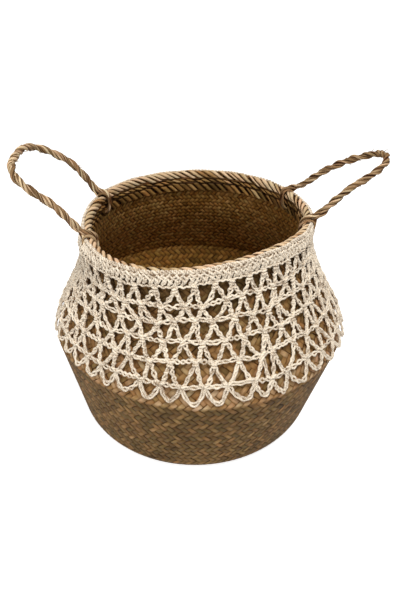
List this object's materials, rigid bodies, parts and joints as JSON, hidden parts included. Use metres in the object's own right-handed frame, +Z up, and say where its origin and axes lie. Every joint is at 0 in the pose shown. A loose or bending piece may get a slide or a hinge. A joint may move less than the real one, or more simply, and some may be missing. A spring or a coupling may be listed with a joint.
{
  "type": "belly basket",
  "caption": "Soft round-bellied basket of plaited seagrass with a crocheted net round its upper half and twisted rope handles that swing on the rim",
  "frame": {"origin": "middle of the round base, on the surface the basket stands on", "axes": "+Z up through the mouth, -Y to the front, the handles at -X and +X"},
  "size_m": [0.374, 0.3263, 0.3148],
  "materials": {
    "grey_plait": "matte",
    "tan_plait": "matte",
    "handle_rope": "matte",
    "crochet_yarn": "matte"
  },
  "bodies": {
    "basket": {"base_mat": "grey_plait", "lower_wall": "grey_plait", "upper_wall": "tan_plait", "crochet_net": "crochet_yarn", "crochet_scallops": "crochet_yarn"},
    "neck": {"rim_border": "tan_plait", "crochet_collar": "crochet_yarn", "left_handle_root_front": "tan_plait", "left_handle_root_back": "tan_plait", "right_handle_root_back": "tan_plait", "right_handle_root_front": "tan_plait"},
    "left_handle": {"left_handle_ply_one": "handle_rope", "left_handle_ply_two": "handle_rope"},
    "right_handle": {"right_handle_ply_one": "handle_rope", "right_handle_ply_two": "handle_rope"}
  },
  "joints": [
    {"name": "neck_fold", "type": "slide", "parent": "basket", "child": "neck", "axis": [0, 0, 1], "range_m": [-0.075, 0], "deforming": ["upper_wall", "crochet_net", "crochet_scallops"]},
    {"name": "left_handle_swing", "type": "hinge", "parent": "neck", "child": "left_handle", "pos_m": [-0.10212, -0.0062, 0.23944], "axis": [-0.0044, 0.9979, 0.0644], "range_deg": [-70, 96]},
    {"name": "right_handle_swing", "type": "hinge", "parent": "neck", "child": "right_handle", "pos_m": [0.11151, 0.01844, 0.2376], "axis": [0.0911, -0.9958, -0.0056], "range_deg": [-50, 105]}
  ]
}
